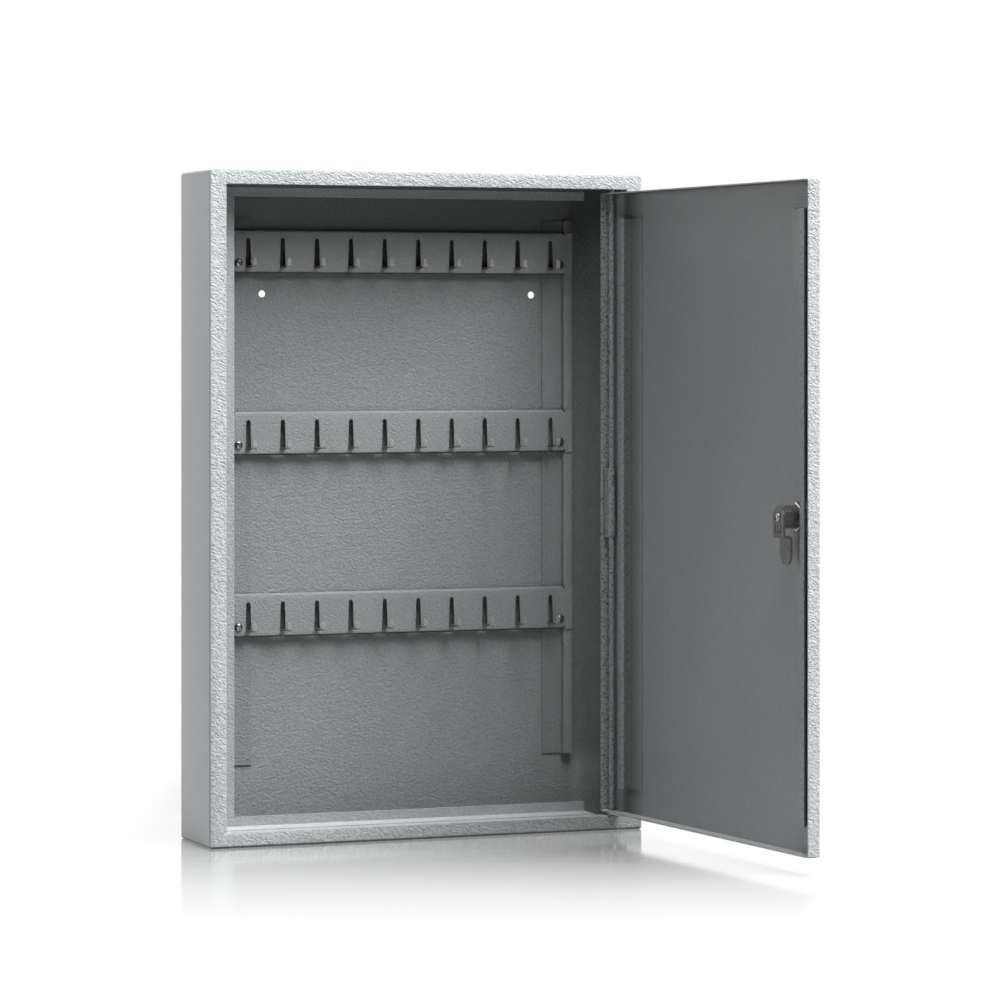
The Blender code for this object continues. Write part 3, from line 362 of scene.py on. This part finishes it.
class Coat:
    """Grey hammered paint, built up by steps that change its tone or its relief; many of them
    paint light and shade in.

    It has creased cells with darker creases, and is uneven in tone and gloss. Masks go from 0 to
    1, and places are in the object's own axes. A later step lies over an earlier one.
    """

    def __init__(self, name, colour=PAINT, relief=RELIEF, streaks=STREAKS, lean=LEAN):
        self.material, self.tree, self.shader, self.place = new_material(name)
        leant = add_node(self.tree, "ShaderNodeVectorRotate",
                         {"Vector": self.place, "Angle": lean}, rotation_type="Y_AXIS").outputs[0]
        sized = vector_maths(self.tree, "MULTIPLY", leant, streaks)
        self.creases = noise(self.tree, sized, CREASE_SCALE, detail=3.0, distortion=0.5)
        self.grain = noise(self.tree, sized, GRAIN_SCALE)
        self.x, self.y, self.z = add_node(self.tree, "ShaderNodeSeparateXYZ",
                                          {0: self.place}).outputs
        self.pits = remap(self.tree, self.creases, *PIT_RANGE, *PIT_SHARES)
        self.colour = colour
        self.tone = colour
        self.relief = relief
        self.shelves = None
        self.inner_shade = None
        # Painted shade on downward faces
        self.tone_faces(DOWN, UNDERSIDE_SHARE, UNDERSIDE_TURN)

    def paint_over(self, mask, colour):
        """Another colour under a mask."""
        self.tone = blend_colour(self.tree, mask, self.tone, colour)

    def shade(self, share, mask=None):
        """The tone so far times a share, all over or under a mask."""
        shaded = blend_colour(self.tree, 1.0, self.tone, share, "MULTIPLY")
        if mask is None:
            self.tone = shaded
        else:
            self.paint_over(mask, shaded)

    def grade(self, position, low, high, shares, mask=None):
        """The tone so far times a share that changes with a position."""
        self.shade(remap(self.tree, position, low, high, *shares), mask)

    def tone_faces(self, axis, share, turn=FACE_TURN):
        """Painted light and shade: a share of the coat's own colour on the faces towards an axis.
        """
        self.paint_over(facing(self.tree, axis, turn), scaled(self.colour, share))

    def smooth_sides(self, side_x):
        """Little relief on the casing's outer sides."""
        side = maths(self.tree, "MAXIMUM", facing(self.tree, RIGHT), facing(self.tree, LEFT))
        reach = maths(self.tree, "ABSOLUTE", self.x)
        outer = maths(self.tree, "GREATER_THAN", reach, side_x - SIDE_SKIN)
        side = maths(self.tree, "MULTIPLY", side, outer)
        self.relief = remap(self.tree, side, 0.0, 1.0, self.relief,
                            self.relief * SIDE_RELIEF_SHARE)

    def light_shelves(self, top):
        """Painted light: a paler tone, with no painted shade in corners, on the upward faces below
        a height.
        """
        below = maths(self.tree, "LESS_THAN", self.z, top)
        self.shelves = maths(self.tree, "MULTIPLY", facing(self.tree, UP, SHELF_TURN), below)
        self.paint_over(self.shelves, LIT_SHELF_PAINT)

    def shade_foot(self, start, end, top):
        """Painted shade: a darker front below a height, from a start to an end along X."""
        low = remap(self.tree, self.z, top, top + FOOT_FADE, 1.0, 0.0)
        front = maths(self.tree, "MULTIPLY", low, facing(self.tree, FRONT))
        self.grade(self.x, start, end, (1.0, FOOT_SHARE), front)

    def shade_arms_and_pale_lips(self, lip_y):
        """Painted shade on the arms of a rail's hooks, and a paler tone on their lips."""
        face_y = lip_y + ARM_LENGTH
        arms = remap(self.tree, self.y, face_y, face_y - HOOK_FADE, 0.0, 1.0)
        self.paint_over(arms, scaled(self.colour, ARM_SHARE))
        lips = remap(self.tree, self.y, lip_y, lip_y - HOOK_FADE, 0.0, 1.0)
        self.paint_over(lips, PALE_LIP)

    def paint_inner_shade(self, colour, relief, *box):
        """Painted shade: a darker copy of the paint, with its own relief, inside a box."""
        self.inner_shade = inside_box(self.tree, self.place, *box)
        self.paint_over(self.inner_shade, colour)
        self.relief = blend_value(self.tree, self.inner_shade, self.relief, relief)

    def shade_hinge(self, hinge_y):
        """Painted shade: the darker inner copy darker still in front of the hinge."""
        start, end = (hinge_y + offset for offset in HINGE_DARK)
        into = remap(self.tree, self.y, start, end, 1.0, HINGE_SHARE)
        start, end = (hinge_y + offset for offset in HINGE_CLEAR)
        out = remap(self.tree, self.y, start, end, HINGE_SHARE, 1.0)
        self.shade(maths(self.tree, "MAXIMUM", into, out), self.inner_shade)

    def corner_share(self, edge_x, foot_z):
        """Painted light and shadow: the share of the tone on the back's strip right of the rail
        bracket.
        """
        strip = maths(self.tree, "GREATER_THAN", self.x, edge_x)
        start, end = (foot_z + offset for offset in CORNER_RISE)
        beside = remap(self.tree, self.z, start, end, 0.0, 1.0)
        corner = remap(self.tree, self.x, edge_x, edge_x + CORNER_WIDTH, *CORNER_SHARES)
        whole = remap(self.tree, self.x, edge_x, edge_x + CORNER_WIDTH, *STRIP_SHARES)
        corner = blend_value(self.tree, beside, 1.0, corner)
        return blend_value(self.tree, strip, 1.0, maths(self.tree, "MULTIPLY", corner, whole))

    def shade_back(self, top_z, end_x, corner=None):
        """Painted shade: a darker, flatter inner face above a height, and a darker end from a
        place on X.
        """
        top = remap(self.tree, self.z, top_z, top_z + DIM_RISE, 0.0, 1.0, smooth=True)
        start, end = (top_z + offset for offset in UPPER_RISE)
        share = maths(self.tree, "MULTIPLY",
                      remap(self.tree, top, 0.0, 1.0, 1.0, TOP_SHARE),
                      remap(self.tree, self.x, end_x, end_x + END_FADE, 1.0, END_SHARE))
        share = maths(self.tree, "MULTIPLY", share,
                      remap(self.tree, self.z, start, end, 1.0, UPPER_SHARE))
        if corner:
            share = maths(self.tree, "MULTIPLY", share, self.corner_share(*corner))
        self.shade(share, maths(self.tree, "LESS_THAN", self.y, -SKIN))
        self.relief = maths(self.tree, "MULTIPLY", self.relief,
                            remap(self.tree, top, 0.0, 1.0, 1.0, TOP_RELIEF_SHARE))

    def deep_pits(self):
        """The share of the tone that dark pits leave."""
        return remap(self.tree, self.creases, *DEEP_RANGE, *DEEP_SHARES)

    def pit(self):
        """Dark pits in the coat, except inside the box of the darker copy that paints shade."""
        pits = self.deep_pits()
        if self.inner_shade is not None:
            pits = blend_value(self.tree, self.inner_shade, pits, self.pits)
        self.pits = pits

    def finish(self, crevice_shade_share=CREVICE_SHADE_SHARE, flange_y=None):
        """The coat's material, also with dark pits behind a plane where that is given."""
        tree = self.tree
        clouds = noise(tree, self.place, CLOUD_SCALE, detail=3.0, roughness=0.6)
        self.shade(blend_colour(tree, clouds, *CLOUD_SHARES))
        depth = maths(tree, "MULTIPLY", self.relief, PIT_GAIN, clamp=True)
        pits = blend_value(tree, depth, 1.0, self.pits)
        if flange_y is not None:
            behind = maths(tree, "GREATER_THAN", self.y, flange_y)
            pits = blend_value(tree, behind, pits, self.deep_pits())
        # Paler edges on the paint: wear, and a painted highlight
        worn = maths(tree, "MULTIPLY_ADD", worn_edges(tree, WEAR_AND_HIGHLIGHT_RADIUS), WEAR_AND_HIGHLIGHT_GAIN, pits)
        # Painted shade in corners and gaps, none on the upward faces with painted light
        unshaded = crevice_shade(tree, crevice_shade_share)
        # The upward faces with painted light get no painted shade in corners
        if self.shelves is not None:
            unshaded = maths(tree, "MAXIMUM", unshaded, self.shelves)
        self.shade(maths(tree, "MULTIPLY", worn, unshaded))
        height = maths(tree, "MULTIPLY_ADD", self.creases, CREASE_HEIGHT,
                       maths(tree, "MULTIPLY", self.grain, GRAIN_HEIGHT))
        soft = add_node(tree, "ShaderNodeBevel", {"Radius": EDGE_RADIUS}, samples=6).outputs[0]
        bump = add_node(tree, "ShaderNodeBump",
                        {"Strength": self.relief, "Distance": BUMP_DEPTH, "Height": height,
                         "Normal": soft})
        rough = remap(tree, self.grain, *GRAIN_RANGE, *PAINT_ROUGHNESS)
        link_shader(tree, self.shader, self.tone, rough, bump)
        return self.material


def metal(name, colour, roughness, relief=METAL_RELIEF):
    """Bare or plated metal with fine grain, smudged gloss and bright worn edges."""
    material, tree, shader, place = new_material(name)
    shader.inputs["Metallic"].default_value = 1.0
    smudge = noise(tree, place, SMUDGE_SCALE, detail=3.0, roughness=0.6)
    tone = blend_colour(tree, remap(tree, smudge, *GRAIN_RANGE, 0.0, 1.0),
                        scaled(colour, SMUDGED_SHARE), colour)
    worn = maths(tree, "MULTIPLY", worn_edges(tree, METAL_WORN_RADIUS), BRIGHT_GAIN)
    tone = blend_colour(tree, worn, tone, scaled(colour, BRIGHT_SHARE))
    bump = add_node(tree, "ShaderNodeBump",
                    {"Strength": relief, "Distance": METAL_BUMP_DEPTH,
                     "Height": noise(tree, place, GRAIN_SCALE)})
    rough = remap(tree, smudge, *GRAIN_RANGE, *(roughness * share for share in SMUDGE_ROUGHNESS))
    link_shader(tree, shader, tone, rough, bump)
    return material


def smooth_group():
    """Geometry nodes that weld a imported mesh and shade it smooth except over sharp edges."""
    tree = bpy.data.node_groups.new("weld_and_smooth", "GeometryNodeTree")
    tree.interface.new_socket("Geometry", in_out="INPUT", socket_type="NodeSocketGeometry")
    tree.interface.new_socket("Geometry", in_out="OUTPUT", socket_type="NodeSocketGeometry")
    start = add_node(tree, "NodeGroupInput").outputs[0]
    welded = add_node(tree, "GeometryNodeMergeByDistance",
                      {"Geometry": start, "Distance": WELD_DISTANCE}).outputs[0]
    smooth = add_node(tree, "GeometryNodeSetShadeSmooth",
                      {"Geometry": welded, "Shade Smooth": True}, domain="FACE").outputs[0]
    angle = add_node(tree, "GeometryNodeInputMeshEdgeAngle").outputs["Unsigned Angle"]
    sharp = add_node(tree, "FunctionNodeCompare", {0: angle, 1: SMOOTH_ANGLE},
                     operation="GREATER_THAN", data_type="FLOAT").outputs[0]
    shaded = add_node(tree, "GeometryNodeSetMeshNormal",
                      {"Mesh": smooth, "Remove Custom": True, "Edge Sharpness": sharp},
                      mode="SHARPNESS").outputs[0]
    add_node(tree, "NodeGroupOutput", {0: shaded})
    return tree


def dress(names, material, group):
    """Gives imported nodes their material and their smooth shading."""
    for name in names:
        piece = NODES[name]
        for slot in piece.material_slots:
            slot.link = "OBJECT"
            slot.material = material
        modifier = piece.modifiers.new("weld_and_smooth", "NODES")
        modifier.node_group = group


def plane_mesh(name, half):
    """A flat square made with bmesh."""
    shape = bmesh.new()
    bmesh.ops.create_grid(shape, x_segments=1, y_segments=1, size=half)
    mesh = bpy.data.meshes.new(name)
    shape.to_mesh(mesh)
    shape.free()
    return mesh


def seen_ray(tree):
    """1 for rays from the camera or through gloss or glass, else 0."""
    path = add_node(tree, "ShaderNodeLightPath").outputs
    either = maths(tree, "MAXIMUM", path["Is Camera Ray"], path["Is Glossy Ray"])
    return maths(tree, "MAXIMUM", either, path["Is Transmission Ray"])


def camera_ray(tree):
    """1 for rays straight from the camera, else 0."""
    return add_node(tree, "ShaderNodeLightPath").outputs["Is Camera Ray"]


def glow(tree, strength):
    """A surface that glows white."""
    return add_node(tree, "ShaderNodeEmission",
                    {"Color": (*WHITE, 1.0), "Strength": strength}).outputs[0]


def build_floor(height):
    """A pale floor, white where seen, with the cabinet's shadow and a fading reflection."""
    floor = bpy.data.objects.new("floor", plane_mesh("floor", FLOOR_SIZE / 2))
    bpy.context.scene.collection.objects.link(floor)
    floor.location.z = height
    material = bpy.data.materials.new("floor")
    material.use_nodes = True
    tree = material.node_tree
    tree.nodes.clear()
    place = add_node(tree, "ShaderNodeTexCoord").outputs["Object"]
    ahead = (-sin(CAMERA_TURN), cos(CAMERA_TURN), 0.0)
    away = along(tree, place, ahead)
    across = along(tree, place, (ahead[1], -ahead[0], 0.0))

    plain = add_node(tree, "ShaderNodeBsdfDiffuse", {"Color": (*FLOOR_COLOUR, 1.0)}).outputs[0]
    near = add_node(tree, "ShaderNodeAddShader", {0: glow(tree, FLOOR_GLOW), 1: plain}).outputs[0]
    white = glow(tree, 1.0)
    far = add_node(tree, "ShaderNodeVectorMath", {0: place}, operation="LENGTH").outputs["Value"]
    far = remap(tree, far, *SHADOW_FADE, 0.0, 1.0, smooth=True)
    beside = remap(tree, across, *SHADOW_LEFT, 0.0, 1.0, smooth=True)
    pale = blend_shader(tree, far, near, white)
    pale = blend_shader(tree, beside, pale, white)

    mirror = add_node(tree, "ShaderNodeBsdfGlossy",
                      {"Color": (*WHITE, 1.0), "Roughness": MIRROR_ROUGHNESS}).outputs[0]
    fade = remap(tree, away, *MIRROR_FRONT, 0.0, 1.0)
    share = maths(tree, "MULTIPLY", maths(tree, "POWER", fade, MIRROR_FALL), MIRROR_SHARE)
    for value, edge in ((away, MIRROR_BACK), (across, MIRROR_LEFT), (across, MIRROR_RIGHT)):
        share = maths(tree, "MULTIPLY", share, remap(tree, value, *edge, 1.0, 0.0))
    share = maths(tree, "MULTIPLY", share, camera_ray(tree))
    seen = blend_shader(tree, share, pale, mirror)
    add_node(tree, "ShaderNodeOutputMaterial",
             {"Surface": blend_shader(tree, seen_ray(tree), plain, seen)})
    floor.data.materials.append(material)


def build_world():
    """A dim even world for light, white to the camera, and to gloss that looks to the back."""
    world = bpy.data.worlds.new("studio")
    bpy.context.scene.world = world
    world.use_nodes = True
    tree = world.node_tree
    tree.nodes.clear()
    towards = add_node(tree, "ShaderNodeTexCoord").outputs["Generated"]
    depth = add_node(tree, "ShaderNodeSeparateXYZ", {0: towards}).outputs[1]
    back = remap(tree, depth, *GLOSS_TURN, 0.0, 1.0, smooth=True)
    tone = blend_colour(tree, maths(tree, "MAXIMUM", back, camera_ray(tree)), FRONT_GLOSS, WHITE)
    dim = add_node(tree, "ShaderNodeBackground",
                   {"Color": (*AMBIENT, 1.0), "Strength": 1.0}).outputs[0]
    white = add_node(tree, "ShaderNodeBackground", {"Color": tone, "Strength": 1.0}).outputs[0]
    add_node(tree, "ShaderNodeOutputWorld",
             {"Surface": blend_shader(tree, seen_ray(tree), dim, white)})


def build_lamps():
    """Soft panels around the cabinet."""
    for name, azimuth, elevation, width, height, power in LAMPS:
        a = radians(azimuth)
        e = radians(elevation)
        out = Vector((sin(a) * cos(e), -cos(a) * cos(e), sin(e)))
        light = bpy.data.lights.new(name, "AREA")
        light.shape = "RECTANGLE"
        light.size = width
        light.size_y = height
        light.energy = power
        lamp = bpy.data.objects.new(name, light)
        bpy.context.scene.collection.objects.link(lamp)
        lamp.location = Vector(AIM) + out * LAMP_DISTANCE
        lamp.rotation_euler = (-out).to_track_quat("-Z", "Y").to_euler()
        lamp.visible_camera = False


def build_camera():
    """The camera at the photograph's viewing angle."""
    data = bpy.data.cameras.new("camera")
    data.lens = CAMERA_LENS
    data.sensor_width = CAMERA_SENSOR
    data.shift_y = CAMERA_SHIFT_Y
    data.clip_end = FLOOR_SIZE * 2
    camera = bpy.data.objects.new("camera", data)
    bpy.context.scene.collection.objects.link(camera)
    camera.location = CAMERA_PLACE
    camera.rotation_euler = (pi / 2, 0.0, CAMERA_TURN)
    bpy.context.scene.camera = camera


for old in list(bpy.data.objects):
    bpy.data.objects.remove(old, do_unlink=True)
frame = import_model()
NODES = frame["nodes"]
cad_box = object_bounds()
bpy.context.scene.view_settings.view_transform = "Standard"
welded = smooth_group()

# The door's own axes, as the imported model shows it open
hinge = next(joint for joint in frame["joints"] if joint["name"] == "door_hinge")
pivot = Vector(hinge["pos_m"])
door_turn = radians(-hinge["range_deg"][0])
pan_low, pan_high = (pivot + Vector(corner) for corner in PAN_BOX)
web_low, web_high = (pivot + Vector(corner) for corner in WEB_BOX)

# The casing's box and the places that are measured from it
wrap_low, wrap_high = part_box("body_wrap")
inner_low = Vector((wrap_low.x + SKIN, wrap_low.y + FRAME_DEPTH, wrap_low.z + SKIN))
inner_high = Vector((wrap_high.x - SKIN, wrap_high.y + SKIN, wrap_high.z - SKIN))
top_z = wrap_high.z - DIM_DROP
end_x = pivot.x - END_MARGIN

casing = Coat("hammer_paint_casing")
casing.smooth_sides(wrap_high.x)
# Painted light on the upward faces below the top
casing.light_shelves(wrap_high.z - SHELF_DROP)
# Painted light and shade on the front: paler on the left, darker on the right
casing.grade(casing.x, wrap_low.x, wrap_high.x, FRONT_SHARES, facing(casing.tree, FRONT))
# Painted shade on the frame's foot towards the hinge
casing.shade_foot(wrap_low.x + FOOT_START, pivot.x, wrap_low.z + FOOT_HEIGHT)
# Painted shade on the frame's left fold
casing.tone_faces(FOLD_AXIS, FOLD_SHARE, FOLD_TURN)
# Painted shade: a darker copy of the paint on the inner walls
casing.paint_inner_shade(SHADED_WALL_PAINT, WALL_RELIEF, inner_low, inner_high)
# Painted shade on the inner walls, deepest at the back
casing.grade(casing.y, wrap_high.y, inner_low.y, WALL_SHARES, casing.inner_shade)
dress(["body_wrap"], casing.finish(), welded)

door = Coat("hammer_paint_door")
# Painted light on the door's upward faces below its middle
door.light_shelves(0.0)
# Painted highlight on the door's faces towards the front, its front edge
door.tone_faces(FRONT, EDGE_SHARE)
# Painted light and shade: paler at the door's bottom, darker at its top
door.grade(door.z, wrap_low.z, wrap_high.z, DOOR_SHARES)
# Painted shade: a darker copy of the paint on the door's inside
door.paint_inner_shade(SHADED_PAN_PAINT, INNER_RELIEF, pan_low, pan_high, door_turn, pivot)
# Painted shade inside the door beside the hinge
door.shade_hinge(pivot.y)
dress(["door_panel"], door.finish(flange_y=pivot.y + FLANGE_START), welded)

# Stops in darker copies of the paint for painted shade, with painted light on their upward faces
stops = Coat("hammer_paint_stops", SHADED_STOP_PAINT, STOP_RELIEF)
stops.light_shelves(wrap_high.z)
dress(["door_stop_top", "door_stop_bottom"], stops.finish(), welded)
side_stop = Coat("hammer_paint_side_stop", SHADED_SIDE_STOP_PAINT, STOP_RELIEF)
dress(["door_stop_left"], side_stop.finish(), welded)

back = Coat("hammer_paint_back", PAINT, BACK_RELIEF, BACK_STREAKS, BACK_LEAN)
# Painted shade: a darker copy of the paint on the back panel
back.paint_inner_shade(SHADED_BACK_PAINT, BACK_RELIEF, wrap_low, (wrap_high.x, -SKIN, wrap_high.z))
# Painted shade at the back's top and at its end by the hinge, with painted light and shadow right
# of the rail bracket
back.shade_back(top_z, end_x,
              (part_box("rail_bracket_right")[1].x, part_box("rail_bracket_right")[0].z))
dress(["back_panel"], back.finish(BACK_CREVICE_SHADE_SHARE), welded)

# Rail brackets in a darker copy of the paint for painted shade
legs = Coat("hammer_paint_inner", SHADED_LEG_PAINT, LEG_RELIEF, BACK_STREAKS, BACK_LEAN)
# Painted shade: the back's darker copy of the paint on the brackets' bases
legs.paint_inner_shade(SHADED_BACK_PAINT, BACK_RELIEF, (wrap_low.x, -BASE_DEPTH, wrap_low.z),
               (wrap_high.x, BASE_DEPTH, wrap_high.z))
# Painted shade at the top and the end, as on the back
legs.shade_back(top_z, end_x)
dress(["rail_bracket_left", "rail_bracket_right"], legs.finish(), welded)

# Hinge rod and sleeve in a darker copy of the paint for painted shade
rod = Coat("hammer_paint_rod", SHADED_HINGE_PAINT, ROD_RELIEF, EVEN)
rod.pit()
dress(["hinge_rod", "hinge_sleeve"], rod.finish(), welded)

# Door brackets in a darker copy of the paint for painted shade
brackets = Coat("hammer_paint_door_brackets", SHADED_HINGE_PAINT, INNER_RELIEF, EVEN)
# Painted shade on the door brackets' webs
brackets.tone_faces(WEB_AXIS, WEB_SHARE)
# Painted shade: the door's darker copy of the paint on the brackets' bases
brackets.paint_inner_shade(SHADED_PAN_PAINT, INNER_RELIEF, web_low, web_high, door_turn, pivot)
# Painted shade on the brackets' bases beside the hinge
brackets.shade_hinge(pivot.y)
brackets.pit()
dress(["door_bracket_hinge_side", "door_bracket_lock_side"],
      brackets.finish(BRACKET_CREVICE_SHADE_SHARE), welded)

# Rails in a darker copy of the paint for painted shade
rails = Coat("hammer_paint_rails", SHADED_RAIL_PAINT, RAIL_RELIEF)
# Painted shade on the hooks' arms, and a paler tone on their lips
rails.shade_arms_and_pale_lips(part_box("key_rail_top")[0].y + LIP_DEPTH)
dress(["key_rail_top", "key_rail_middle", "key_rail_bottom"], rails.finish(), welded)

screws = [name for name in NODES if name.startswith("rail_screw")]
wafers = [name for name in NODES if name.startswith("lock_wafer")]
dress(screws, metal("dark_steel", DARK_STEEL, 0.15), welded)
dress(["lock_nut"], metal("bright_nut", BRIGHT_STEEL, 0.12), welded)
dress(["lock_housing", "lock_plug", "lock_cam", "cam_screw", "hinge_washer"],
      metal("zinc_casting", ZINC, 0.32, relief=0.3), welded)
dress(wafers, metal("brass", BRASS, 0.30), welded)

build_world()
build_floor(cad_box[0].z)
build_lamps()
build_camera()
